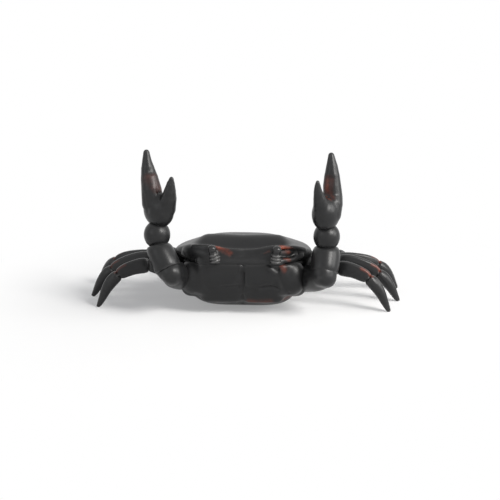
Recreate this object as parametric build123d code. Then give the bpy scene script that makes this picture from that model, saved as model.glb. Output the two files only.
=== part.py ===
from build123d import *
import math
import os

# A crab figurine with its claws held up as a rest for a pen. X runs to the right and Y to the rear, with
# the face towards -Y. Z is up from the table, and the origin is the middle of the flat foot of the belly.
# It is a set of rigid castings that are pegged and glued at the creases of the shell, so nothing moves.

# The pegs and sockets that hold one casting to the next
fit_clearance = 0.1
cut_overrun = 2.0

# The middle line of every limb bends smoothly, by this share of each length at both of its ends
bend_share = 0.33

# The two halves of the body meet on a seam that slopes down to the rear
seam_height = 23.5
seam_slope = 7.5
register_half_width = 15.0
register_half_length = 12.0
register_height = 3.0
register_corner_radius = 4.0

# Underbody: rounded in plan, and drawn in below to the flat foot that it stands on
belly_half_width = 27.0
belly_front = 26.2
belly_rear = 26.0
belly_height_shares = (0.0, 0.085, 0.2, 0.36, 0.6, 0.94, 1.3)
belly_width_shares = (0.5, 0.7, 0.86, 0.97, 1.02, 1.05, 1.06)
belly_front_shares = (0.3, 0.54, 0.78, 0.92, 0.98, 1.0, 1.0)
belly_rear_shares = (0.5, 0.68, 0.8, 0.9, 0.97, 1.0, 1.0)
belly_outline_shares = ((0.0, -1.0), (0.5, -0.99), (0.86, -0.82), (1.0, -0.42), (0.97, 0.1),
                        (0.76, 0.62), (0.4, 0.94), (0.0, 1.0))

# Plates on the front of the underbody: a pair over the mouth, a pair on the breast and the two cheeks
plate_gap = 0.6
plate_stand_out = 2.4
plate_rounding = 2.2
plate_sink = 6.0
mouth_plate_width = 17.2
mouth_plate_low = 15.6
breast_plate_width = 20.0
breast_plate_low = 6.2
breast_plate_lean = 18.0
left_cheek_width = 11.0
right_cheek_width = 12.5
cheek_low = 11.0
cheek_turn = 33.0
cheek_setback = 2.0

# Carapace: its outline in plan on the seam, and the height of its domed top above the seam
carapace_half_width = 33.0
carapace_front = 28.2
carapace_rear = 28.0
carapace_crown = 11.4
carapace_rim_height = 3.2
carapace_seam_share = 0.93
carapace_edge_rounding = 1.1
front_bow = 1.0
rear_bow = 1.2
corner_setback = 11.0
front_edge_shares = ((0.265, -0.972), (0.53, -1.0), (0.74, -0.86), (0.9, -0.64), (1.0, -0.39))
rear_edge_shares = ((0.97, -0.06), (0.83, 0.34), (0.6, 0.72), (0.379, 1.0))
dome_across_shares = (0.0, 0.35, 0.6, 0.8, 1.0, 1.25)
dome_front_shares = (1.25, 0.85, 0.46, 0.05)
dome_rear_shares = (0.32, 0.62, 1.0, 1.25)
dome_height_shares = ((0.60, 0.68, 0.74, 0.66, 0.50, 0.30),
                      (0.67, 0.74, 0.79, 0.70, 0.52, 0.30),
                      (0.90, 0.90, 0.85, 0.67, 0.43, 0.20),
                      (1.00, 0.97, 0.84, 0.65, 0.42, 0.20),
                      (0.84, 0.80, 0.68, 0.54, 0.36, 0.20),
                      (0.64, 0.60, 0.51, 0.41, 0.30, 0.20),
                      (0.48, 0.46, 0.41, 0.37, 0.32, 0.26),
                      (0.44, 0.42, 0.38, 0.34, 0.30, 0.24))
corner_tooth_radius = 1.7

# Orbits and eyes: a long hollow under each end of the front ridge, with a rim below it and a stalked eye.
# Their places across and to the front are shares of the carapace, and their heights are above the seam.
orbit_across_share = 0.6515
orbit_front_share = 0.936
orbit_rise = 7.9
orbit_turn = 33.0
orbit_half_width = 8.0
orbit_depth = 4.0
orbit_half_height = 2.8
orbit_rim_radius = 1.3
rim_across_shares = (0.521, 0.715, 0.876)
rim_front_shares = (0.972, 0.848, 0.635)
rim_rises = (5.4, 4.8, 5.5)
left_eye_across_share = 0.4212
right_eye_across_share = 0.5152
left_stalk_lean = 1.8
right_stalk_lean = 0.8
eye_stand_out = 1.0
eye_rise = 10.9
eye_radius = 2.2
stalk_foot_rise = 4.7
stalk_foot_radius = 2.6
stalk_top_radius = 1.9
eye_peg_radius = 1.1
eye_peg_length = 6.0

# Arms: the root, upper arm, wrist and hand have one size on both sides, and each arm its own pose.
# A pose is the forward angle and the lift of each length in turn.
arm_root_across = 26.0
arm_root_front = 11.0
arm_root_height = 15.2
arm_root_exit = (34.0, 8.0)
arm_root_length = 24.0
upper_arm_length = 13.9
wrist_length = 9.8
left_arm_pose = ((68.8, 22.2), (-41.6, 53.7), (-82.0, 72.0))
right_arm_pose = ((54.0, 18.8), (-80.0, 61.3), (97.0, 81.0))
arm_root_radius = 6.0
arm_root_swell = 6.7
elbow_radius = 6.2
elbow_drop = 1.4
elbow_neck_radius = 5.9
upper_arm_swell = 6.9
wrist_radius = 5.0
wrist_swell = 6.4
hand_joint_radius = 4.6
arm_peg_radius = 1.8
arm_peg_length = 3.6
elbow_peg_root = 1.0
root_peg_length = 5.0
root_peg_outside = 8.0
bead_station_shares = (0.0, 0.12, 0.35, 0.65, 0.88, 1.0)
bead_swell_shares = (0.0, 0.67, 1.0, 1.0, 0.67, 0.0)

# Hand: the palm with its long fixed finger, and the short finger that leaves a gape between them
hand_length = 35.0
palm_half_width = 7.0
palm_half_thickness = 5.9
left_hand_turn = 43.0
right_hand_turn = 68.0
left_hand_tilt = 2.0
right_hand_tilt = 3.7
long_finger_lean = 8.4
long_finger_tip_radius = 1.1
short_finger_length = 23.4
short_finger_lean = 9.0
short_finger_half_width = 5.6
short_finger_half_thickness = 5.2
short_finger_tip_radius = 0.8
short_seat_share = 0.6
short_seat_rise = 0.4
long_height_shares = (0.07, 0.22, 0.37, 0.56, 0.78, 0.94)
long_lean_shares = (0.08, 0.26, 0.5, 0.84, 1.02, 1.0)
long_size_shares = (0.92, 1.02, 0.95, 0.71, 0.44, 0.24)
short_height_shares = (0.12, 0.34, 0.55, 0.78, 0.92)
short_lean_shares = (0.26, 0.46, 0.7, 0.9, 0.98)
short_size_shares = (1.0, 1.06, 0.8, 0.5, 0.28)

# Legs: four pairs, mirrored about the middle. Each has the places of its root, peak, knee and toe.
fore_leg_route = ((25.0, -1.5, 11.5), (46.5, -11.5, 21.0), (61.0, -14.0, 16.6), (71.6, -15.0, 0.0))
second_leg_route = ((25.5, 5.5, 11.5), (47.0, 2.0, 20.4), (66.2, 2.0, 14.4), (76.9, 2.0, 0.0))
third_leg_route = ((24.5, 12.5, 11.5), (46.0, 14.0, 17.5), (66.4, 18.0, 14.0), (76.9, 23.5, 0.0))
hind_leg_route = ((20.0, 19.5, 10.5), (33.0, 30.5, 12.6), (46.0, 44.0, 11.6), (54.0, 61.2, 0.0))
leg_root_height = 7.6
leg_peak_height = 7.2
leg_knee_height = 5.6
leg_thickness = 4.8
leg_top_share = 0.42
leg_corner_share = 0.2
toe_bow = 0.5
leg_peg_radius = 1.0
leg_peg_length = 2.6
leg_station_shares = (0.0, 0.1, 0.35, 0.65, 0.9, 1.0)
leg_swell_shares = (0.8, 1.0, 1.08, 1.08, 1.0, 0.8)
toe_station_shares = (0.0, 0.1, 0.3, 0.6, 0.85, 1.0)
toe_swell_shares = (0.8, 1.0, 0.98, 0.74, 0.48, 0.3)

# The values below follow from the ones above
seam_plane = Plane(origin=(0, 0, seam_height), x_dir=(1, 0, 0),
                   z_dir=(0, math.sin(math.radians(seam_slope)), math.cos(math.radians(seam_slope))))
over_all = 2 * (carapace_half_width + carapace_front + carapace_rear)
above_seam = seam_plane * Pos(0, 0, over_all / 2) * Box(over_all, over_all, over_all)
below_seam = seam_plane * Pos(0, 0, -over_all / 2) * Box(over_all, over_all, over_all)
arm_poses = {"left": (-1, left_arm_pose, left_hand_turn, left_hand_tilt),
             "right": (1, right_arm_pose, right_hand_turn, right_hand_tilt)}
leg_routes = {"fore": fore_leg_route, "second": second_leg_route, "third": third_leg_route, "hind": hind_leg_route}
eye_front = carapace_front + eye_stand_out
eye_height = seam_height + eye_rise
stalk_foot_height = seam_height + stalk_foot_rise
eye_places = {"left": (-1, carapace_half_width * left_eye_across_share, left_stalk_lean),
              "right": (1, carapace_half_width * right_eye_across_share, right_stalk_lean)}


def heading(side, forward_angle, lift_angle):
    """Unit direction of a limb on one side, from its turn towards the front and its lift."""
    forward = math.radians(forward_angle)
    lift = math.radians(lift_angle)
    return Vector(side * math.cos(lift) * math.cos(forward), -math.cos(lift) * math.sin(forward), math.sin(lift))


def joint_planes(points, across):
    """A plane at each joint of a limb, square to the middle of the turn there."""
    runs = [(end - start).normalized() for start, end in zip(points, points[1:])]
    planes = []
    for index, point in enumerate(points):
        before = runs[max(index - 1, 0)]
        after = runs[min(index, len(runs) - 1)]
        normal = (before + after).normalized()
        planes.append(Plane(origin=point, x_dir=across(normal), z_dir=normal))
    return planes


def along(start, end, share, bow=0.0):
    """Plane at a share of the way along the smooth middle line from one joint plane to the next."""
    reach = (end.origin - start.origin).length * bend_share
    first = start.origin
    second = first + start.z_dir * reach
    fourth = end.origin
    third = fourth - end.z_dir * reach
    rest = 1 - share
    middle = first * rest**3 + second * (3 * rest**2 * share) + third * (3 * rest * share**2) + fourth * share**3
    slope = (second - first) * rest**2 + (third - second) * (2 * rest * share) + (fourth - third) * share**2
    across = start.x_dir * rest + end.x_dir * share
    plane = Plane(origin=middle, x_dir=across, z_dir=slope)
    return Plane(origin=middle + plane.y_dir * (bow * math.sin(math.pi * share)), x_dir=plane.x_dir, z_dir=slope)


def round_bead(start, end, start_radius, swell, end_radius):
    """Casting between two creases of an arm: it swells quickly from each crease to a full middle."""
    sections = []
    for share, swelling in zip(bead_station_shares, bead_swell_shares):
        crease_radius = start_radius if share < 1 - share else end_radius
        sections.append(along(start, end, share) * Circle(crease_radius + (swell - crease_radius) * swelling))
    return loft(sections)


def peg(plane, radius, length):
    """Round peg that stands back from a joint face into the casting before it."""
    return plane * Pos(0, 0, -length / 2) * Cylinder(radius, length)


def socket(plane, radius, length):
    """Hole for a peg, larger all round by the fit's clearance."""
    depth = length + fit_clearance
    hole = Cylinder(radius + fit_clearance, depth + cut_overrun)
    return plane * Pos(0, 0, (cut_overrun - depth) / 2) * hole


def root_peg(plane, radius):
    """Long peg that runs from inside a limb's root into the body."""
    length = root_peg_outside + root_peg_length
    return plane * Pos(0, 0, (root_peg_outside - root_peg_length) / 2) * Cylinder(radius, length)


def root_socket(plane, radius):
    """Hole in the body for the peg of a limb's root."""
    depth = root_peg_length + fit_clearance
    length = root_peg_outside + depth
    return plane * Pos(0, 0, (root_peg_outside - depth) / 2) * Cylinder(radius + fit_clearance, length)


# The arms, from the body out

def arm_points(side, pose):
    """Places of the root, elbow, wrist and hand joints of one arm."""
    points = [Vector(side * arm_root_across, -arm_root_front, arm_root_height)]
    for length, angles in zip((arm_root_length, upper_arm_length, wrist_length), pose):
        points.append(points[-1] + heading(side, *angles) * length)
    return points


def arm_planes(side, pose):
    """Joint planes of one arm, with the last one facing up to the hand."""
    points = arm_points(side, pose)
    planes = joint_planes(points + [points[-1] + Vector(0, 0, hand_length)], lambda normal: Vector(1, 0, 0))
    exit_plane = Plane(origin=points[0], x_dir=(0, side, 0), z_dir=heading(side, *arm_root_exit))
    return [exit_plane] + planes[1:len(points)]


def arm_root(start, knob, body):
    """Root casting of an arm, seated on the side of the body and rounded off at the elbow."""
    bead = round_bead(start, knob, arm_root_radius, arm_root_swell, elbow_neck_radius)
    return bead + knob * Sphere(elbow_radius) - body


def upper_arm(start, crown, end, root):
    """Long casting from the elbow, where it is cut to the root's round end, to the wrist."""
    bead = round_bead(start, end, elbow_neck_radius, upper_arm_swell, wrist_radius) - root
    pin = peg(crown.offset(elbow_peg_root), arm_peg_radius, arm_peg_length + elbow_peg_root)
    return bead + pin - socket(end, arm_peg_radius, arm_peg_length)


def wrist(planes):
    """Ball-shaped casting between the upper arm and the hand."""
    bead = round_bead(planes[2], planes[3], wrist_radius, wrist_swell, hand_joint_radius)
    return bead + peg(planes[2], arm_peg_radius, arm_peg_length) - socket(planes[3], arm_peg_radius, arm_peg_length)


def arm_castings(side, pose, body):
    """Root, upper arm and wrist of one arm, with the planes of its joints."""
    planes = arm_planes(side, pose)
    across = Vector(1, 0, 0)
    upper_run = (planes[2].origin - planes[1].origin).normalized()
    start = Plane(origin=planes[1].origin, x_dir=across, z_dir=upper_run)
    knob = start.offset(-elbow_drop)
    crown = knob.offset(elbow_radius)
    root_run = (knob.origin - planes[0].origin).normalized()
    root = arm_root(planes[0], Plane(origin=knob.origin, x_dir=across, z_dir=root_run), body)
    upper = upper_arm(start, crown, planes[2], root)
    root += root_peg(planes[0], arm_peg_radius)
    root -= socket(crown, arm_peg_radius, arm_peg_length)
    return {"_arm_root": root, "_upper_arm": upper, "_wrist": wrist(planes)}, planes


def finger(frame, length, lean, half_width, half_thickness, tip_radius, shares, first_section):
    """One finger with its half of the palm, in the frame of the hand."""
    sections = [first_section]
    for height_share, lean_share, size_share in shares:
        place = frame * Pos(lean * lean_share, 0, length * height_share)
        sections.append(place * Ellipse(half_width * size_share, half_thickness * size_share))
    sections.append(frame * Pos(lean, 0, length) * Circle(tip_radius))
    return loft(sections)


def hand(side, turn, tilt, planes):
    """Palm with both fingers in one casting, open between them for the pen."""
    angle = math.radians(turn)
    lean = math.radians(tilt)
    frame = Plane(origin=planes[3].origin, x_dir=(-side * math.cos(angle), -math.sin(angle), 0),
                  z_dir=(-side * math.sin(lean), 0, math.cos(lean)))
    joint = planes[3] * Circle(hand_joint_radius)
    long_shares = tuple(zip(long_height_shares, long_lean_shares, long_size_shares))
    short_shares = tuple(zip(short_height_shares, short_lean_shares, short_size_shares))
    long_finger = finger(frame, hand_length, -long_finger_lean, palm_half_width, palm_half_thickness,
                         long_finger_tip_radius, long_shares, joint)
    inner = planes[3] * Pos(0, 0, short_seat_rise) * Circle(hand_joint_radius * short_seat_share)
    short_finger = finger(frame, short_finger_length, short_finger_lean, short_finger_half_width,
                          short_finger_half_thickness, short_finger_tip_radius, short_shares, inner)
    return long_finger + short_finger + peg(planes[3], arm_peg_radius, arm_peg_length)


# The legs, from the body out

def leg_section(plane, height, thickness):
    """Section of a leg: narrow along the top edge, wide below, with rounded corners."""
    top = thickness * leg_top_share / 2
    bottom = thickness / 2
    half = height / 2
    corners = Polyline((-bottom, -half), (bottom, -half), (top, half), (-top, half), close=True)
    outline = make_face(corners)
    return plane * fillet(outline.vertices(), thickness * leg_corner_share)


def leg_planes(route):
    """Joint planes of one leg on the right side."""
    points = [Vector(*place) for place in route]
    return joint_planes(points, lambda normal: Vector(0, 0, 1).cross(normal))


def leg_casting(start, end, start_height, end_height, shares, bow=0.0):
    """Casting between two creases of a leg, drawn in at both."""
    sections = []
    for share, swell in shares:
        height = (start_height * (1 - share) + end_height * share) * swell
        sections.append(leg_section(along(start, end, share, bow), height, leg_thickness * swell))
    return loft(sections)


def leg_root(planes, body):
    """First casting of a leg, from the body up to the peak."""
    shares = tuple(zip(leg_station_shares, leg_swell_shares))
    bead = leg_casting(planes[0], planes[1], leg_root_height, leg_peak_height, shares)
    seated = bead - body + root_peg(planes[0], leg_peg_radius)
    return seated - socket(planes[1], leg_peg_radius, leg_peg_length)


def leg_middle(planes):
    """Second casting of a leg, from the peak down to the knee."""
    shares = tuple(zip(leg_station_shares, leg_swell_shares))
    bead = leg_casting(planes[1], planes[2], leg_peak_height, leg_knee_height, shares)
    return bead + peg(planes[1], leg_peg_radius, leg_peg_length) - socket(planes[2], leg_peg_radius, leg_peg_length)


def leg_toe(planes):
    """Pointed toe from the knee to the table, cut flat where it stands."""
    shares = tuple(zip(toe_station_shares, toe_swell_shares))
    bead = leg_casting(planes[2], planes[3], leg_knee_height, leg_knee_height, shares, toe_bow)
    below = Pos(0, 0, -over_all / 2) * Box(over_all, over_all, over_all)
    return bead - below + peg(planes[2], leg_peg_radius, leg_peg_length)


# The body and the eyes

def belly_outline(half_width, front, rear):
    """Rounded outline of the underbody in plan."""
    right = [(across * half_width, deep * (front if deep < 0 else rear)) for across, deep in belly_outline_shares]
    left = [(-x, y) for x, y in reversed(right[1:-1])]
    return make_face(Spline(*right, *left, periodic=True))


def belly():
    """Underbody without its plates, up to the seam."""
    sections = []
    for up, wide, front, rear in zip(belly_height_shares, belly_width_shares, belly_front_shares, belly_rear_shares):
        outline = belly_outline(belly_half_width * wide, belly_front * front, belly_rear * rear)
        sections.append(Pos(0, 0, seam_height * up) * outline)
    return loft(sections) - above_seam


def plate(place, width, height):
    """One rounded plate, set into the front of the underbody."""
    block = Box(width, plate_sink + plate_stand_out, height)
    return place * Pos(0, (plate_sink - plate_stand_out) / 2, 0) * fillet(block.edges(), plate_rounding)


def face_plates():
    """The mouth plates, breast plates and cheeks of both sides."""
    front_seam = seam_height + belly_front * math.tan(math.radians(seam_slope))
    mouth_height = front_seam - mouth_plate_low + plate_rounding
    breast_height = mouth_plate_low - plate_gap - breast_plate_low
    cheek_height = front_seam - cheek_low + plate_rounding
    plates = []
    for side, cheek_width in ((-1, left_cheek_width), (1, right_cheek_width)):
        cheek_across = mouth_plate_width + cheek_width / 2 * math.cos(math.radians(cheek_turn))
        mouth = Pos(side * (plate_gap + mouth_plate_width) / 2, -belly_front, mouth_plate_low + mouth_height / 2)
        breast = Pos(side * (plate_gap + breast_plate_width) / 2, -belly_front * belly_front_shares[3],
                     breast_plate_low + breast_height / 2) * Rot(breast_plate_lean, 0, 0)
        cheek = Pos(side * cheek_across, -belly_front + cheek_setback, cheek_low + cheek_height / 2)
        plates.append(plate(mouth, mouth_plate_width - plate_gap, mouth_height))
        plates.append(plate(breast, breast_plate_width - plate_gap, breast_height))
        plates.append(plate(cheek * Rot(0, 0, side * cheek_turn), cheek_width, cheek_height))
    return plates


def register(clearance):
    """Raised seat on the underbody that centres the carapace."""
    width = 2 * (register_half_width + clearance)
    length = 2 * (register_half_length + clearance)
    block = Box(width, length, 2 * (register_height + clearance))
    return seam_plane * fillet(block.edges().filter_by(Axis.Z), register_corner_radius)


def carapace_outline():
    """Rounded outline of the carapace in plan, drawn in a little along the middle of the front edge."""
    right = [(0, front_bow - carapace_front)]
    right += [(x * carapace_half_width, y * carapace_front) for x, y in front_edge_shares]
    right += [(x * carapace_half_width, y * carapace_rear) for x, y in rear_edge_shares]
    right.append((0, carapace_rear + rear_bow))
    left = [(-x, y) for x, y in reversed(right[1:-1])]
    return make_face(Spline(*right, *left, periodic=True))


def dome_section(place, heights):
    """Upright section across the carapace, with its top edge at the given heights."""
    points = [(across * carapace_half_width, height) for across, height in zip(dome_across_shares, heights)]
    left = [(-x, z) for x, z in reversed(points[1:])]
    outer, top = points[-1]
    upper = Spline(*left, *points)
    sides = Polyline((outer, top), (outer, -carapace_crown), (-outer, -carapace_crown), (-outer, top))
    return Plane(origin=(0, place, 0), x_dir=(1, 0, 0), z_dir=(0, -1, 0)) * make_face([upper, *sides.edges()])


def dome():
    """Solid under the domed top of the carapace."""
    places = [-share * carapace_front for share in dome_front_shares]
    places += [share * carapace_rear for share in dome_rear_shares]
    sections = []
    for place, shares in zip(places, dome_height_shares):
        sections.append(dome_section(place, [share * carapace_crown for share in shares]))
    return loft(sections)


def carapace_shell():
    """Carapace before its orbits are cut, with the small tooth at each side corner."""
    outline = carapace_outline()
    lower = scale(outline, by=carapace_seam_share)
    rim = loft([lower, Pos(0, 0, carapace_rim_height) * outline], ruled=True)
    wall = Pos(0, 0, carapace_rim_height) * extrude(outline, amount=carapace_crown)
    shell = (rim + wall) & dome()
    top_edges = shell.faces().sort_by(Axis.Z)[-1].edges()
    shell = fillet(top_edges, carapace_edge_rounding)
    for side in (-1, 1):
        tooth = Pos(side * (carapace_half_width - corner_tooth_radius / 2), -corner_setback, carapace_rim_height)
        shell += tooth * Sphere(corner_tooth_radius)
    return seam_plane * shell


def eye_form(side, across, lean, grown):
    """Round eye on its stalk, made larger all round by the given amount."""
    foot = Plane(origin=(side * (across - lean), -eye_front, stalk_foot_height), z_dir=(0, 0, 1))
    top = Plane(origin=(side * across, -eye_front, eye_height), z_dir=(0, 0, 1))
    stalk = loft([foot * Circle(stalk_foot_radius + grown), top * Circle(stalk_top_radius + grown)])
    return stalk + top * Sphere(eye_radius + grown)


def eye_peg(side, across, lean, radius, length):
    """Peg from the eye stalk straight back into the carapace."""
    middle = (eye_height + stalk_foot_height) / 2
    place = Pos(side * (across - lean / 2), -eye_front + length / 2, middle)
    return place * Rot(90, 0, 0) * Cylinder(radius, length)


def eye(side, across, lean):
    """Eye, stalk and peg in one small casting."""
    return eye_form(side, across, lean, 0) + eye_peg(side, across, lean, eye_peg_radius, eye_peg_length)


def orbit_rim(side):
    """Rounded rim below the orbit."""
    points = []
    for across, front, rise in zip(rim_across_shares, rim_front_shares, rim_rises):
        points.append((side * across * carapace_half_width, -front * carapace_front, seam_height + rise))
    path = Spline(*points)
    return sweep(Plane(origin=path @ 0, z_dir=path % 0) * Circle(orbit_rim_radius), path)


def carapace():
    """Carapace with its orbits, eye seats and the recess for the underbody's raised seat."""
    shell = carapace_shell()
    for side, across, lean in eye_places.values():
        hollow = scale(Sphere(1), by=(orbit_half_width, orbit_depth, orbit_half_height))
        orbit = (side * orbit_across_share * carapace_half_width, -orbit_front_share * carapace_front,
                 seam_height + orbit_rise)
        place = Pos(*orbit) * Rot(0, 0, side * orbit_turn)
        shell -= place * hollow
        shell += orbit_rim(side) - below_seam
        shell -= eye_form(side, across, lean, fit_clearance)
        shell -= eye_peg(side, across, lean, eye_peg_radius + fit_clearance, eye_peg_length + fit_clearance)
    return shell - register(fit_clearance)


def underbody(body, holes):
    """Underbody with its raised seat and the holes for every limb."""
    return body + register(0) - holes


pieces = {}
body = belly()
for plate_block in face_plates():
    body += plate_block - above_seam

holes = []
for name, (side, pose, turn, tilt) in arm_poses.items():
    castings, planes = arm_castings(side, pose, body)
    for part_name, casting in castings.items():
        pieces[name + part_name] = casting
    pieces[name + "_hand"] = hand(side, turn, tilt, planes)
    holes.append(root_socket(planes[0], arm_peg_radius))

for name, route in leg_routes.items():
    planes = leg_planes(route)
    castings = {"root": leg_root(planes, body), "middle": leg_middle(planes), "toe": leg_toe(planes)}
    hole = root_socket(planes[0], leg_peg_radius)
    holes += [hole, mirror(hole, about=Plane.YZ)]
    for part_name, casting in castings.items():
        pieces["right_" + name + "_leg_" + part_name] = casting
        pieces["left_" + name + "_leg_" + part_name] = mirror(casting, about=Plane.YZ)

# The root of each fore leg passes close behind the root of the arm, and is trimmed to lie against it
for name in arm_poses:
    pieces[name + "_fore_leg_root"] -= pieces[name + "_arm_root"]

pieces["underbody"] = underbody(body, holes)
pieces["carapace"] = carapace()
for name, (side, across, lean) in eye_places.items():
    pieces[name + "_eye"] = eye(side, across, lean)

os.makedirs("parts", exist_ok=True)
for node, piece in pieces.items():
    export_step(piece, "parts/" + node + ".step")
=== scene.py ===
import math

import bmesh
import bpy
import numpy as np
from mathutils import Matrix, Vector


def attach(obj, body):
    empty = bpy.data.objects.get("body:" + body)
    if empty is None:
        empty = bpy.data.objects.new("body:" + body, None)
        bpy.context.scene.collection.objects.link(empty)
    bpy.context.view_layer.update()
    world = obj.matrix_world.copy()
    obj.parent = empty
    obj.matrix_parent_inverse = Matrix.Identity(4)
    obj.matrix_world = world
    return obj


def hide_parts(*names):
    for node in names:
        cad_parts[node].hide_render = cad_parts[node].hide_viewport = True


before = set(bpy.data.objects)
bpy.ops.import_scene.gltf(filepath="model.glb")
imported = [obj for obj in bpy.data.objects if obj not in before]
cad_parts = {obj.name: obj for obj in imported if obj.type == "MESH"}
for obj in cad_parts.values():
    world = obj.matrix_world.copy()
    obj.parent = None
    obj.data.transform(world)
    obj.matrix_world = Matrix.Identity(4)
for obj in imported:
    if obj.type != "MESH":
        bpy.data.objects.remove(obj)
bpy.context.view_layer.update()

# Table, light and camera
# The figurine stands on a pale table top that turns plain white further out. Broad, soft lamps stand at
# its front right and right side, with a weak fill at the left and a weaker one behind. The camera looks at
# its face from a little above.
WHITE = (1.0, 1.0, 1.0, 1.0)
TABLE_REACH = 4.0
TABLE_COLOUR = (0.97, 0.97, 0.972, 1.0)
TABLE_GLOW = 0.28
# How far from its middle the table starts to turn white and is white, in metres.
TABLE_WHITENS = (0.065, 0.15)
TABLE_SPECKS = {"Scale": 60.0, "Detail": 3.0}
TABLE_ROUGHNESS = 0.4
SPECK_ROUGHNESS = 0.1
ROOM_COLOUR = (0.93, 0.95, 1.0, 1.0)
ROOM_STRENGTH = 0.22
# Each lamp's place and width in metres, its power in watts and its colour.
LAMPS = {
    "key_lamp": ((0.80, -0.60, 0.80), 0.5, 13.0, (1.0, 0.985, 0.96)),
    "side_lamp": ((1.1, -0.15, 0.5), 0.7, 7.0, (1.0, 0.995, 0.98)),
    "fill_lamp": ((-0.9, -0.8, 0.6), 0.7, 1.2, (0.95, 0.97, 1.0)),
    "rear_lamp": ((0.1, 0.9, 0.9), 0.8, 0.3, (1.0, 1.0, 1.0)),
}
CAMERA_DISTANCE = 0.7
CAMERA_TARGET = Vector((0.0027, 0.0, 0.026))
CAMERA_AZIMUTH = math.radians(3.0)
CAMERA_ELEVATION = math.radians(16.0)
CAMERA_LENS = 101.8
CAMERA_SENSOR = 36.0


class Signal:
    """One socket of a material, so that its maths reads as a plain expression."""

    def __init__(self, tree, socket=None):
        self.tree = tree
        self.socket = socket

    def node(self, kind, settings, inputs, output=0):
        """Adds a node: its settings first, and then the values or signals of its sockets."""
        made = self.tree.nodes.new(kind)
        for name, value in settings.items():
            setattr(made, name, value)
        for name, value in inputs.items():
            if isinstance(value, Signal):
                self.tree.links.new(value.socket, made.inputs[name])
            else:
                made.inputs[name].default_value = value
        return Signal(self.tree, made.outputs[output] if made.outputs else None)

    def maths(self, operation, first, second, clamp=False):
        settings = {"operation": operation, "use_clamp": clamp}
        return self.node("ShaderNodeMath", settings, {0: first, 1: second})

    def __add__(self, other):
        return self.maths("ADD", self, other)

    def __radd__(self, other):
        return self.maths("ADD", other, self)

    def __sub__(self, other):
        return self.maths("SUBTRACT", self, other)

    def __rsub__(self, other):
        return self.maths("SUBTRACT", other, self)

    def __mul__(self, other):
        return self.maths("MULTIPLY", self, other)

    def __rmul__(self, other):
        return self.maths("MULTIPLY", other, self)

    def __pow__(self, other):
        return self.maths("POWER", self, other)

    def clamped(self):
        return self.maths("ADD", self, 0.0, clamp=True)


def empty_tree(owner):
    """The node tree of a material or world, cleared of its default nodes."""
    owner.use_nodes = True
    owner.node_tree.nodes.clear()
    return Signal(owner.node_tree)


def plain_rays(tree):
    """1 for rays that look at the backdrop itself or mirror it, and 0 for rays that light something."""
    seen = tree.node("ShaderNodeLightPath", {}, {}, "Is Camera Ray")
    mirrored = tree.node("ShaderNodeLightPath", {}, {}, "Is Glossy Ray")
    passed = tree.node("ShaderNodeLightPath", {}, {}, "Is Transmission Ray")
    return (seen + mirrored + passed).clamped()


def make_table():
    mesh = bpy.data.meshes.new("table_top")
    sheet = bmesh.new()
    bmesh.ops.create_grid(sheet, x_segments=1, y_segments=1, size=TABLE_REACH)
    sheet.to_mesh(mesh)
    sheet.free()
    table = bpy.data.objects.new("table_top", mesh)
    bpy.context.collection.objects.link(table)
    material = bpy.data.materials.new("pale_table")
    tree = empty_tree(material)
    place = tree.node("ShaderNodeTexCoord", {}, {}, "Object")
    reach = tree.node("ShaderNodeVectorMath", {"operation": "LENGTH"}, {0: place}, "Value")
    far = tree.node("ShaderNodeMapRange", {"interpolation_type": "SMOOTHSTEP"},
                    {"Value": reach, "From Min": TABLE_WHITENS[0], "From Max": TABLE_WHITENS[1]})
    speck = tree.node("ShaderNodeTexNoise", {}, {"Vector": place, **TABLE_SPECKS})
    matt = tree.node("ShaderNodeBsdfDiffuse", {}, {
        "Color": TABLE_COLOUR, "Roughness": TABLE_ROUGHNESS + SPECK_ROUGHNESS * speck})
    white = tree.node("ShaderNodeEmission", {}, {"Color": WHITE, "Strength": 1.0})
    plain = plain_rays(tree)
    near = tree.node("ShaderNodeMixShader", {}, {0: TABLE_GLOW * plain, 1: matt, 2: white})
    mixed = tree.node("ShaderNodeMixShader", {}, {0: far * plain, 1: near, 2: white})
    tree.node("ShaderNodeOutputMaterial", {}, {"Surface": mixed})
    mesh.materials.append(material)


def make_room():
    world = bpy.data.worlds.new("studio_room")
    bpy.context.scene.world = world
    tree = empty_tree(world)
    lit = tree.node("ShaderNodeBackground", {}, {"Color": ROOM_COLOUR, "Strength": ROOM_STRENGTH})
    white = tree.node("ShaderNodeBackground", {}, {"Color": WHITE, "Strength": 1.0})
    mixed = tree.node("ShaderNodeMixShader", {}, {0: plain_rays(tree), 1: lit, 2: white})
    tree.node("ShaderNodeOutputWorld", {}, {"Surface": mixed})


def look_at(thing, place, target):
    facing = (target - place).to_track_quat("-Z", "Y").to_matrix().to_4x4()
    thing.matrix_world = Matrix.Translation(place) @ facing


def make_lamps():
    for name, (place, size, power, colour) in LAMPS.items():
        data = bpy.data.lights.new(name, "AREA")
        data.shape = "DISK"
        data.size = size
        data.energy = power
        data.color = colour
        lamp = bpy.data.objects.new(name, data)
        bpy.context.collection.objects.link(lamp)
        look_at(lamp, Vector(place), CAMERA_TARGET)


def make_camera():
    data = bpy.data.cameras.new("studio_camera")
    data.lens = CAMERA_LENS
    data.sensor_width = CAMERA_SENSOR
    camera = bpy.data.objects.new("studio_camera", data)
    bpy.context.collection.objects.link(camera)
    back = Vector((math.sin(CAMERA_AZIMUTH) * math.cos(CAMERA_ELEVATION),
                   -math.cos(CAMERA_AZIMUTH) * math.cos(CAMERA_ELEVATION), math.sin(CAMERA_ELEVATION)))
    look_at(camera, CAMERA_TARGET + back * CAMERA_DISTANCE, CAMERA_TARGET)
    bpy.context.scene.camera = camera


make_table()
make_room()
make_lamps()
make_camera()
bpy.context.scene.view_settings.view_transform = "Standard"

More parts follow.
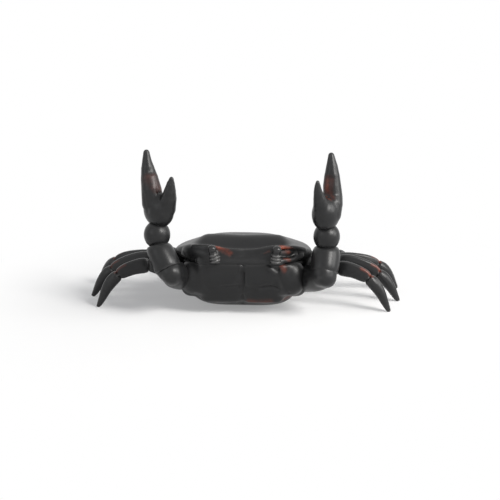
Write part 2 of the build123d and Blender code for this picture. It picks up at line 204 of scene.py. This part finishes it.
# Underbody
# One solid casting in charcoal resin, with soft plates over the mouth and breast and a cheek at each side.
# It is cast in a soft mould, so all of its edges are rounded. Red-brown is rubbed on under the breast and
# on the right cheek.
MM = 0.001
UNDERBODY_GRAIN = 0.42
UNDERBODY_ROUNDING = 90
# Each swelling's centre, half sizes and turn. These and all sizes below are in millimetres and degrees.
BODY_SWELLINGS = (
    ((-11.4, -21.6, 11.2), (10.6, 5.0, 5.6), 0.0),
    ((11.3, -21.6, 11.4), (10.6, 5.0, 5.6), 0.0),
    ((25.8, -17.0, 12.4), (5.4, 5.0, 4.6), 0.0),
    ((-25.0, -17.4, 12.2), (5.2, 5.0, 5.0), 0.0),
    ((23.6, -21.5, 18.8), (7.4, 7.1, 9.2), 0.0),
    ((-23.4, -21.3, 18.6), (7.0, 6.6, 9.0), 0.0),
    ((-32.0, -9.0, 23.5), (4.6, 9.0, 3.6), 0.0),
    ((32.0, -9.0, 23.5), (4.6, 9.0, 3.6), 0.0),
)
# Each strand's stations: a centre and a radius.
BODY_STRANDS = (
    (((-22.0, -25.6, 15.3), 1.7), ((-3.5, -26.2, 15.3), 1.7)),
    (((3.5, -26.0, 15.3), 1.35), ((17.0, -26.0, 15.3), 1.35)),
    (((-17.6, -25.9, 26.0), 1.9), ((-17.6, -25.9, 12.0), 1.9)),
    (((0.6, -26.3, 25.5), 1.3), ((0.5, -25.9, 12.0), 1.3)),
    (((-22.0, -24.6, 25.6), 2.0), ((-16.0, -26.3, 25.6), 2.2), ((13.0, -26.3, 25.6), 2.2)),
)
# Each groove's or ridge's route, its width, and how deep or high it is.
FACE_GROOVES = (
    (((1.0, -27.4, 26.4), (0.9, -27.4, 21.0), (0.8, -27.0, 15.9), (0.5, -26.0, 9.0)), 0.9, 0.75),
    (((0.4, -25.0, 6.0), (0.4, -20.0, 5.0)), 1.3, 0.6),
    (((9.0, -27.8, 15.0), (14.0, -27.8, 15.7), (19.5, -27.6, 14.6)), 0.9, 0.75),
    (((-9.5, -28.0, 15.4), (-1.5, -27.8, 16.2)), 0.8, 0.4),
    (((13.2, -28.2, 26.8), (17.2, -28.4, 24.0)), 0.9, 0.5),
    (((17.4, -28.2, 26.0), (18.0, -28.2, 21.0), (20.4, -28.0, 16.0), (22.6, -26.8, 12.4)), 0.9, 0.5),
)
FACE_RIDGES = (
    (((8.7, -27.8, 14.4),), 1.2, 0.75),
    (((13.6, -28.4, 24.8), (16.4, -28.4, 22.6)), 1.2, 0.35),
    (((-0.5, -28.0, 26.0), (-0.5, -28.0, 17.0)), 0.8, 0.35),
    (((20.2, -28.0, 24.6), (21.8, -27.6, 19.0)), 1.6, 0.35),
)
# Each rub's route, its width, and its strength from 0 to 1.
FACE_RUBS = (
    (((4.0, -25.7, 7.4), (8.9, -25.5, 7.0), (13.7, -25.8, 7.6)), 2.0, 0.38),
    (((20.5, -21.5, 7.5), (24.5, -18.0, 10.5), (26.5, -14.0, 12.5)), 2.4, 0.6),
    (((18.9, -27.1, 26.6), (20.8, -28.1, 24.4)), 1.6, 0.5),
)
# How finely swellings and strands are divided, and how a cast is welded, rounded and stood on the table.
BALL_DIVISIONS = 4
BAR_SIDES = 48
WELD_GAP = 0.001
ROUNDING_STRENGTH = 0.5
STAND_REACH = 3.0
# Wear and painted shade are evened out over this many edges, and are full where the surface turns this much
# in a millimetre.
WEAR_AND_SHADE_SPREAD = 8
SHARP_TURN = 0.9
# The least squared length, in metres, that anything is divided by.
LEAST_SQUARE = 1e-12


def add_ball(shell, centre, halves, turn=0.0):
    """A rounded mass with the given half sizes, turned about the vertical."""
    size = Matrix.Diagonal([half * MM for half in halves] + [1.0])
    place = Matrix.Translation(Vector(centre) * MM) @ Matrix.Rotation(math.radians(turn), 4, "Z") @ size
    bmesh.ops.create_icosphere(shell, subdivisions=BALL_DIVISIONS, radius=1.0, matrix=place)


def add_strand(shell, stations):
    """A rounded bar through the given centres, with the given radius at each."""
    for centre, radius in stations:
        add_ball(shell, centre, (radius, radius, radius))
    for (start, first), (end, second) in zip(stations, stations[1:]):
        run = Vector(end) - Vector(start)
        place = Matrix.Translation((Vector(start) + Vector(end)) / 2 * MM)
        place = place @ run.to_track_quat("Z", "Y").to_matrix().to_4x4()
        bmesh.ops.create_cone(shell, cap_ends=True, segments=BAR_SIDES, radius1=first * MM,
                              radius2=second * MM, depth=run.length * MM, matrix=place)


def casting(node, grain, rounding, swellings=(), strands=(), kept=True):
    """The visible piece for one solid: its surface laid out evenly, and its edges softened as in a cast.

    Swellings are rounded masses and strands are rounded bars that are cast in one with it.
    Where the solid isn't kept, they are the whole piece.
    """
    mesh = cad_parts[node].data.copy()
    welded = bmesh.new()
    if kept:
        welded.from_mesh(mesh)
        bmesh.ops.remove_doubles(welded, verts=welded.verts, dist=WELD_GAP * MM)
    for centre, halves, turn in swellings:
        add_ball(welded, centre, halves, turn)
    for stations in strands:
        add_strand(welded, stations)
    welded.to_mesh(mesh)
    welded.free()
    piece = bpy.data.objects.new(node + "_cast", mesh)
    bpy.context.collection.objects.link(piece)
    skin = piece.modifiers.new("skin", "REMESH")
    skin.mode = "VOXEL"
    skin.voxel_size = grain * MM
    wear = piece.modifiers.new("wear", "SMOOTH")
    wear.factor = ROUNDING_STRENGTH
    wear.iterations = rounding
    bpy.context.view_layer.update()
    finished = bpy.data.meshes.new_from_object(piece.evaluated_get(bpy.context.evaluated_depsgraph_get()))
    piece.modifiers.clear()
    piece.data = finished
    return piece


def vertex_places(mesh):
    places = np.empty(len(mesh.vertices) * 3, np.float32)
    mesh.vertices.foreach_get("co", places)
    return places.reshape(-1, 3)


def vertex_normals(mesh):
    normals = np.empty(len(mesh.vertices) * 3, np.float32)
    mesh.vertex_normals.foreach_get("vector", normals)
    return normals.reshape(-1, 3)


def move_vertices(mesh, places):
    mesh.vertices.foreach_set("co", places.astype(np.float32).ravel())
    mesh.update()


def nearness(places, route, width):
    """1 on a route through the given points, and falling to 0 around it."""
    points = [np.array(point) * MM for point in route]
    gap = np.full(len(places), 1.0)
    for start, end in zip(points, points[1:] + points[-1:]):
        run = end - start
        share = np.clip((places - start) @ run / max(float(run @ run), LEAST_SQUARE), 0.0, 1.0)
        gap = np.minimum(gap, np.linalg.norm(places - start - share[:, None] * run, axis=1))
    return np.exp(-(gap / (width * MM)) ** 2)


def carve(piece, grooves, ridges=()):
    """Presses grooves into the surface and raises ridges from it, along their routes."""
    mesh = piece.data
    places = vertex_places(mesh)
    height = np.zeros(len(places))
    for route, width, depth in grooves:
        height -= nearness(places, route, width) * depth * MM
    for route, width, rise in ridges:
        height += nearness(places, route, width) * rise * MM
    move_vertices(mesh, places + vertex_normals(mesh) * height[:, None])


def stand(piece):
    """Draws the lowest part of a piece down again, so that it stands on the table."""
    places = vertex_places(piece.data)
    low = places[:, 2].min()
    places[:, 2] -= low * np.clip(1 - (places[:, 2] - low) / (STAND_REACH * MM), 0.0, 1.0)
    move_vertices(piece.data, places)


def add_values(mesh, name, values):
    layer = mesh.attributes.new(name, "FLOAT", "POINT")
    layer.data.foreach_set("value", values.astype(np.float32))


def measure_wear_and_shade(mesh, rubs):
    """Stores how sharply the surface turns, for worn ridges and for painted shade in hollows, and where it
    is rubbed with colour, for the material.
    """
    places = vertex_places(mesh)
    normals = vertex_normals(mesh)
    ends = np.empty(len(mesh.edges) * 2, np.int32)
    mesh.edges.foreach_get("vertices", ends)
    first, second = ends.reshape(-1, 2).T
    step = places[second] - places[first]
    turn = np.einsum("ij,ij->i", normals[second] - normals[first], step)
    turn = turn / np.maximum((step ** 2).sum(1), LEAST_SQUARE)
    count = np.maximum(np.bincount(ends, minlength=len(places)), 1)
    for _ in range(WEAR_AND_SHADE_SPREAD):
        level = (np.bincount(first, turn, len(places)) + np.bincount(second, turn, len(places))) / count
        turn = (level[first] + level[second]) / 2
    add_values(mesh, "ridge", np.clip(level * MM / SHARP_TURN, 0.0, 1.0))
    # How concave each place is. The material darkens these hollows with painted shade.
    add_values(mesh, "hollow", np.clip(-level * MM / SHARP_TURN, 0.0, 1.0))
    rubbed = np.zeros(len(places))
    for route, width, strength in rubs:
        rubbed = np.maximum(rubbed, nearness(places, route, width) * strength)
    add_values(mesh, "rub", rubbed)


# The resin's colours, the sizes of its patterns, and how strongly each of them shows.
CHARCOAL = (0.0145, 0.0147, 0.0152)
WORN_GREY = (0.085, 0.084, 0.084, 1.0)
RED_BROWN = (0.23, 0.05, 0.026, 1.0)
# The grey of the painted highlight on the eye stalks.
PAINTED_HIGHLIGHT_GREY = (0.24, 0.235, 0.23, 1.0)
CLOUDS = {"Scale": 130.0, "Detail": 5.0, "Roughness": 0.6}
GRAINS = {"Scale": 1500.0, "Detail": 4.0, "Roughness": 0.6}
STREAKS = {"Scale": 420.0, "Detail": 6.0, "Roughness": 0.7}
PITS = {"Scale": 700.0}
PATTERN_MEAN = 0.5
WORN_EVENLY = 0.35
WORN_IN_STREAKS = 1.1
WORN_LEAST = 0.12
WORN_COVER = 0.55
RUBBED_IN_STREAKS = 1.5
RUB_BARE = 0.2
RUBBED_ON_RIDGES = 1.5
RUB_LEAST = 0.06
RUB_LOST_IN_HOLLOWS = 0.4
# How much painted shade darkens the hollows.
PAINTED_HOLLOW_SHADE = 0.35
GRAIN_SHADE = 0.12
# How the painted highlight on the eye stalks spreads, evenly and in streaks.
HIGHLIGHT_EVENLY = 0.4
HIGHLIGHT_IN_STREAKS = 0.8
CLOUD_ROUGHNESS = 0.16
GRAIN_ROUGHNESS = 0.10
WORN_POLISH = 0.06
RUB_ROUGHNESS = 0.08
GRAIN_RELIEF = 0.5
STREAK_RELIEF = 0.35
PIT_RELIEF = 0.25
PIT_NARROWING = 2.2
PIT_STEEPNESS = 3.0
RELIEF_STRENGTH = 0.22
RELIEF_DEPTH = 0.12
RESIN_SPECULAR = 0.3


def resin(name, roughness, mottling):
    """Matt charcoal resin: cloudy in colour, finely grained, worn pale on ridges, rubbed with red-brown,
    darkened in hollows by painted shade, and lightened where a piece carries a painted highlight.
    """
    material = bpy.data.materials.new(name)
    tree = empty_tree(material)
    place = tree.node("ShaderNodeTexCoord", {}, {}, "Object")
    cloud = tree.node("ShaderNodeTexNoise", {}, {"Vector": place, **CLOUDS})
    grain = tree.node("ShaderNodeTexNoise", {}, {"Vector": place, **GRAINS})
    streak = tree.node("ShaderNodeTexNoise", {}, {"Vector": place, **STREAKS})
    pit = tree.node("ShaderNodeTexVoronoi", {}, {"Vector": place, **PITS}, "Distance")
    ridge = tree.node("ShaderNodeAttribute", {"attribute_name": "ridge"}, {}, "Fac")
    hollow = tree.node("ShaderNodeAttribute", {"attribute_name": "hollow"}, {}, "Fac")
    rub = tree.node("ShaderNodeAttribute", {"attribute_name": "rub"}, {}, "Fac")
    pale = tree.node("ShaderNodeAttribute", {"attribute_name": "pale"}, {}, "Fac")
    worn = (ridge * (WORN_EVENLY + WORN_IN_STREAKS * streak) - WORN_LEAST).clamped()
    red = (rub * (RUBBED_IN_STREAKS * streak - RUB_BARE) + rub * ridge * RUBBED_ON_RIDGES
           - RUB_LEAST - RUB_LOST_IN_HOLLOWS * hollow).clamped()
    # The charcoal's tone is mottled and grained, and it is darkened in hollows by painted shade.
    tone_and_painted_shade = (1.0 - mottling + 2.0 * mottling * cloud - PAINTED_HOLLOW_SHADE * hollow
             + GRAIN_SHADE * (grain - PATTERN_MEAN)).clamped()
    # The 'pale' attribute carries the painted highlight of the eye stalks, mixed in as pale grey.
    painted_highlight = (pale * (HIGHLIGHT_EVENLY + HIGHLIGHT_IN_STREAKS * streak)).clamped()
    dark = tree.node("ShaderNodeVectorMath", {"operation": "SCALE"}, {0: CHARCOAL, "Scale": tone_and_painted_shade})
    colour = {"data_type": "RGBA"}
    edged = tree.node("ShaderNodeMix", colour, {0: worn * WORN_COVER, 6: dark, 7: WORN_GREY}, 2)
    reddened = tree.node("ShaderNodeMix", colour, {0: red, 6: edged, 7: RED_BROWN}, 2)
    painted = tree.node("ShaderNodeMix", colour, {0: painted_highlight, 6: reddened, 7: PAINTED_HIGHLIGHT_GREY}, 2)
    gloss = (roughness + CLOUD_ROUGHNESS * (cloud - PATTERN_MEAN) + GRAIN_ROUGHNESS * (grain - PATTERN_MEAN)
             - WORN_POLISH * worn + RUB_ROUGHNESS * red).clamped()
    relief = (GRAIN_RELIEF * grain + STREAK_RELIEF * streak
              - PIT_RELIEF * (1.0 - (pit * PIT_NARROWING).clamped()) ** PIT_STEEPNESS)
    bumped = tree.node("ShaderNodeBump", {}, {
        "Strength": RELIEF_STRENGTH, "Distance": RELIEF_DEPTH * MM, "Height": relief})
    surface = tree.node("ShaderNodeBsdfPrincipled", {}, {
        "Base Color": painted, "Roughness": gloss, "Normal": bumped, "Specular IOR Level": RESIN_SPECULAR})
    tree.node("ShaderNodeOutputMaterial", {}, {"Surface": surface})
    return material


def finish_cast(piece, node, material, rubs=()):
    """Gives a casting its finish, and puts it in the place of its solid."""
    mesh = piece.data
    mesh.polygons.foreach_set("use_smooth", np.ones(len(mesh.polygons), bool))
    measure_wear_and_shade(mesh, rubs)
    mesh.materials.clear()
    mesh.materials.append(material)
    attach(piece, "root")
    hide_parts(node)


body_resin = resin("body_resin", roughness=0.37, mottling=0.22)
underbody = casting("underbody", UNDERBODY_GRAIN, UNDERBODY_ROUNDING, BODY_SWELLINGS, BODY_STRANDS)
carve(underbody, FACE_GROOVES, FACE_RIDGES)
stand(underbody)
finish_cast(underbody, "underbody", body_resin, FACE_RUBS)

# Carapace
# The upper casting of the body, glued down on the underbody. Its front edge is a raised lip over the eyes,
# with a trough and a low crest behind it. Below the lip it has fine creases beside the eyes, a roll along
# its lower edge and a floor in each orbit.
CARAPACE_GRAIN = 0.42
CARAPACE_ROUNDING = 14
ORBIT_FLOORS = (
    ((-20.1, -23.1, 30.8), (10.4, 4.2, 4.5), -33.0),
    ((19.2, -21.5, 31.2), (9.5, 3.4, 3.4), 33.0),
)
FRONT_ROLL = (((-20.0, -26.4, 27.9), 2.15), ((18.5, -26.4, 27.9), 2.15))
LIP_ROUTE = ((-23.5, -23.6, 34.6), (-16.0, -26.0, 35.4), (-8.0, -26.2, 34.9), (0.0, -26.0, 34.7),
             (8.0, -26.2, 34.9), (16.0, -26.0, 35.4), (23.5, -23.6, 34.6), (30.0, -16.2, 31.5))
CARAPACE_GROOVES = (
    (((-19.0, -20.5, 35.4), (-8.0, -21.8, 34.9), (8.0, -21.8, 34.9), (19.0, -20.5, 35.4)), 3.2, 1.9),
    (((14.0, -27.6, 34.0), (11.2, -27.2, 32.8), (6.9, -26.9, 31.1)), 0.6, 0.35),
    (((-11.6, -27.6, 34.0), (-8.8, -27.0, 32.9), (-4.5, -27.0, 30.6)), 0.6, 0.35),
    (((13.0, -27.4, 32.2), (9.5, -27.2, 30.9)), 0.5, 0.25),
)
CARAPACE_RIDGES = (
    (LIP_ROUTE, 1.0, 0.5),
    (((-17.0, -11.5, 35.8), (0.0, -13.0, 35.7), (17.0, -11.5, 35.8)), 4.6, 1.9),
    (((13.6, -27.6, 33.1), (10.4, -27.2, 31.9)), 0.5, 0.3),
)
CARAPACE_RUBS = (
    (((-11.6, -27.4, 35.3), (-10.2, -27.0, 33.9), (-7.8, -27.0, 32.6), (-5.4, -26.9, 31.6)), 1.3, 1.0),
    (((-11.0, -27.2, 34.6), (-6.4, -26.8, 33.4)), 0.8, 0.8),
    (((19.4, -26.3, 34.6), (22.5, -23.6, 32.6)), 1.6, 1.0),
    (((20.4, -26.2, 29.4), (22.5, -25.4, 28.6)), 0.9, 0.6),
    (((13.4, -27.5, 33.6), (11.0, -27.2, 32.6)), 0.8, 0.5),
)
carapace = casting("carapace", CARAPACE_GRAIN, CARAPACE_ROUNDING, ORBIT_FLOORS, (FRONT_ROLL,))
carve(carapace, CARAPACE_GROOVES, CARAPACE_RIDGES)
finish_cast(carapace, "carapace", body_resin, CARAPACE_RUBS)

# Eyes
# Two small castings, each a round eye on a ribbed stalk, pegged back into the orbits.
# They have more gloss than the body, and their stalks carry a painted highlight, palest on the ribs.
EYE_GRAIN = 0.16
EYE_ROUNDING = 3
# The foot and the top of each eye's stalk.
EYE_STALKS = {
    "left_eye": ((-12.1, -29.2, 28.2), (-13.9, -29.2, 34.4)),
    "right_eye": ((16.2, -29.2, 28.2), (17.0, -29.2, 34.4)),
}
# The ribs fade in and out over this length, and end this far below the top.
RIB_PITCH = 1.5
RIB_HEIGHT = 0.22
RIB_FADE = 0.8
RIBS_END = 1.4
# How strong the painted highlight is along the stalk and on its rings.
STALK_HIGHLIGHT = 0.12
RIB_HIGHLIGHT = 0.33
eye_resin = resin("eye_resin", roughness=0.2, mottling=0.15)


def rib_stalk(piece, foot, top):
    """Raises soft rings along an eye's stalk, below the eye itself, and stores a painted highlight along it,
    palest on the rings.
    """
    mesh = piece.data
    places = vertex_places(mesh)
    start = np.array(foot) * MM
    run = np.array(top) * MM - start
    along = (places - start) @ run / np.linalg.norm(run) / MM
    length = float(np.linalg.norm(run)) / MM
    ring = 0.5 - 0.5 * np.cos(2 * math.pi * along / RIB_PITCH)
    held = np.clip(along / RIB_FADE, 0, 1) * np.clip((length - RIBS_END - along) / RIB_FADE, 0, 1)
    move_vertices(mesh, places + vertex_normals(mesh) * (ring * held * RIB_HEIGHT * MM)[:, None])
    # The painted highlight on the stalk, palest on the rings.
    add_values(mesh, "pale", held * (STALK_HIGHLIGHT + RIB_HIGHLIGHT * ring))


for node, (foot, top) in EYE_STALKS.items():
    eye = casting(node, EYE_GRAIN, EYE_ROUNDING)
    rib_stalk(eye, foot, top)
    finish_cast(eye, node, eye_resin)

# Arms
# Each arm is three bead-like castings, root, upper arm and wrist, pegged and glued at the creases.
# The roots seat on the sides of the underbody and swell at the elbow, and the wrists are plain balls.
# The right root has a low knuckle on its front.
ARM_GRAIN = 0.32
ARM_ROUNDING = 60
ARM_RIDGES = {"right_arm_root": ((((37.4, -34.6, 22.6),), 1.5, 0.9),)}
ARM_DENTS = {
    "left_arm_root": ((((-39.0, -33.5, 19.5),), 5.0, 1.6),),
    "left_upper_arm": ((((-45.0, -29.5, 27.5),), 5.0, 1.2),),
    "right_arm_root": ((((38.0, -34.0, 14.5),), 5.0, 1.6),),
}
ELBOWS = {
    "left_arm_root": (((-34.8, -31.4, 23.2), (6.1, 6.1, 6.1), 0.0),),
    "right_arm_root": (((39.2, -29.2, 23.2), (6.4, 6.4, 6.4), 0.0),),
}
WRIST_HALVES = (6.45, 6.45, 6.9)
WRIST_BALLS = {
    "left_wrist": (((-40.4, -24.7, 40.1), WRIST_HALVES, 3.0),),
    "right_wrist": (((40.4, -23.6, 40.0), WRIST_HALVES, -7.0),),
}
ARM_SWELLINGS = {**ELBOWS, **WRIST_BALLS}
arm_resin = resin("arm_resin", roughness=0.34, mottling=0.2)
for side in ("left", "right"):
    for part in ("arm_root", "upper_arm", "wrist"):
        node = side + "_" + part
        arm = casting(node, ARM_GRAIN, ARM_ROUNDING, ARM_SWELLINGS.get(node, ()), kept=part != "wrist")
        carve(arm, ARM_DENTS.get(node, ()), ARM_RIDGES.get(node, ()))
        finish_cast(arm, node, arm_resin)

# Hands
# Each hand is one casting: a swollen palm with a long fixed finger and a shorter one, open between them.
# The fingers are rounded bars that narrow to their tips, and the gape is rubbed with red-brown.
HAND_GRAIN = 0.3
HAND_ROUNDING = 18
PALMS = {
    "left_hand": ((-39.5, -23.8, 51.8), (8.6, 6.2, 8.3), -43.0),
    "right_hand": ((39.9, -24.9, 51.6), (8.2, 6.5, 8.5), 68.0),
}
FINGERS = {
    "left_hand": (
        (((-45.6, -17.7, 78.5), 1.55), ((-45.4, -18.3, 74.7), 2.3), ((-44.9, -19.2, 71.0), 3.25),
         ((-44.0, -20.6, 66.6), 4.2), ((-43.0, -22.0, 61.3), 4.9), ((-42.2, -23.0, 55.2), 5.4)),
        (((-32.6, -29.3, 68.5), 1.15), ((-33.0, -28.9, 66.0), 2.0), ((-33.5, -28.4, 62.4), 2.9),
         ((-34.2, -27.6, 58.6), 3.8), ((-35.8, -26.2, 53.6), 4.8)),
    ),
    "right_hand": (
        (((42.0, -16.8, 77.8), 1.55), ((42.4, -17.9, 72.6), 2.85), ((42.5, -18.8, 68.2), 3.75),
         ((42.6, -19.7, 63.7), 4.35), ((43.1, -20.9, 58.6), 4.6), ((43.0, -23.2, 55.8), 4.8),
         ((41.8, -24.6, 51.6), 5.4)),
        (((35.8, -32.4, 68.5), 0.95), ((35.8, -32.0, 66.6), 1.5), ((36.0, -31.3, 63.6), 2.1),
         ((36.8, -30.2, 59.9), 3.0), ((38.0, -28.2, 55.1), 4.3)),
    ),
}
HAND_GROOVES = {
    "left_hand": (
        (((-41.9, -25.7, 59.3), (-40.1, -25.0, 59.4), (-37.9, -25.1, 60.7)), 0.9, 0.5),
        (((-43.4, -22.4, 70.0), (-42.6, -23.4, 62.0)), 2.2, 0.7),
        (((-46.6, -26.4, 60.0), (-44.5, -28.0, 52.0)), 1.2, 0.25),
    ),
    "right_hand": (
        (((40.7, -25.7, 59.8), (42.6, -26.1, 58.5), (44.1, -26.0, 57.1), (45.9, -24.8, 54.9)), 0.9, 0.7),
        (((41.6, -22.4, 68.0), (41.0, -24.4, 61.0)), 1.8, 0.6),
    ),
}
HAND_RIDGES = {"left_hand": ((((-42.0, -26.0, 58.2), (-38.4, -26.4, 59.8)), 0.8, 0.35),)}
HAND_RUBS = {
    "left_hand": ((((-43.6, -21.9, 66.4), (-42.7, -22.2, 64.2), (-41.0, -23.2, 62.0)), 3.1, 0.55),),
    "right_hand": (
        (((41.0, -21.2, 66.6), (40.4, -22.6, 64.2), (40.2, -24.3, 61.9), (41.3, -25.9, 59.4)), 2.3, 0.66),
    ),
}
hand_resin = resin("hand_resin", roughness=0.34, mottling=0.24)
for node, rubs in HAND_RUBS.items():
    hand = casting(node, HAND_GRAIN, HAND_ROUNDING, (PALMS[node],), FINGERS[node], kept=False)
    carve(hand, HAND_GROOVES[node], HAND_RIDGES.get(node, ()))
    finish_cast(hand, node, hand_resin, rubs)

# Legs
# Four pairs of jointed legs, each a root, a middle and a pointed toe that stands on the table. The roots and
# middles are flat at the sides, the toes nearly round, and the knees of the right legs are rubbed brightest.
LEG_GRAIN = 0.28
LEG_ROUNDING = 6
# The rub along each right knee and its width. The left ones are its mirror image.
KNEE_RUBS = {
    "fore": (((57.5, -14.6, 21.5), (60.7, -15.2, 20.1), (62.6, -15.2, 17.8)), 0.9),
    "second": (((63.0, 0.6, 19.2), (65.8, 1.0, 17.9), (67.3, 1.0, 15.0)), 0.8),
    "third": (((64.0, 16.6, 19.1), (66.2, 17.6, 17.9), (67.8, 17.8, 15.4)), 0.8),
    "hind": (((43.0, 41.0, 15.2), (46.4, 44.6, 13.8)), 0.8),
}
KNEE_STRENGTH = {"right": 0.55, "left": 0.3}
# How round each part's section is made, at how many stations, and how much of each end stays as it is.
# No side grows past LEG_LIMIT of the section's half height, and LEG_CORE is the least distance divided by.
LEG_FULLNESS = {"root": 0.2, "middle": 0.2, "toe": 0.9}
LEG_STATIONS = 12
LEG_END = 1.5
LEG_LIMIT = 0.93
LEG_CORE = 0.4
leg_resin = resin("leg_resin", roughness=0.32, mottling=0.24)


def round_out(piece, fullness):
    """Fills the flat sides of a long piece out toward a round section, and leaves its ends."""
    mesh = piece.data
    places = vertex_places(mesh)
    axis = np.linalg.eigh(np.cov(places.T))[1][:, 2]
    along = places @ axis
    marks = np.linspace(along.min(), along.max(), LEG_STATIONS + 1)
    middles = (marks[1:] + marks[:-1]) / 2
    station = np.clip(np.digitize(along, marks) - 1, 0, LEG_STATIONS - 1)
    count = np.maximum(np.bincount(station, minlength=LEG_STATIONS), 1)
    line = [np.bincount(station, row, LEG_STATIONS) / count for row in places.T]
    offset = places - np.array([np.interp(along, middles, row) for row in line]).T
    offset -= np.outer(offset @ axis, axis)
    gap = np.linalg.norm(offset, axis=1)
    halves = [gap[station == index].max(initial=0.0) for index in range(LEG_STATIONS)]
    half = np.interp(along, middles, halves)
    side = 1.0 - (vertex_normals(mesh) @ axis) ** 2
    inner = np.clip(np.minimum(along - along.min(), along.max() - along) / (LEG_END * MM), 0.0, 1.0)
    short = np.maximum(LEG_LIMIT * half / np.maximum(gap, LEG_CORE * MM) - 1.0, 0.0)
    move_vertices(mesh, places + offset * (fullness * side * inner * short)[:, None])


for side, strength in KNEE_STRENGTH.items():
    turned = -1 if side == "left" else 1
    for pair, (route, width) in KNEE_RUBS.items():
        rubs = ((tuple((turned * x, y, z) for x, y, z in route), width, strength),)
        for part, fullness in LEG_FULLNESS.items():
            node = side + "_" + pair + "_leg_" + part
            leg = casting(node, LEG_GRAIN, LEG_ROUNDING)
            round_out(leg, fullness)
            if part == "toe":
                stand(leg)
            finish_cast(leg, node, leg_resin, rubs)
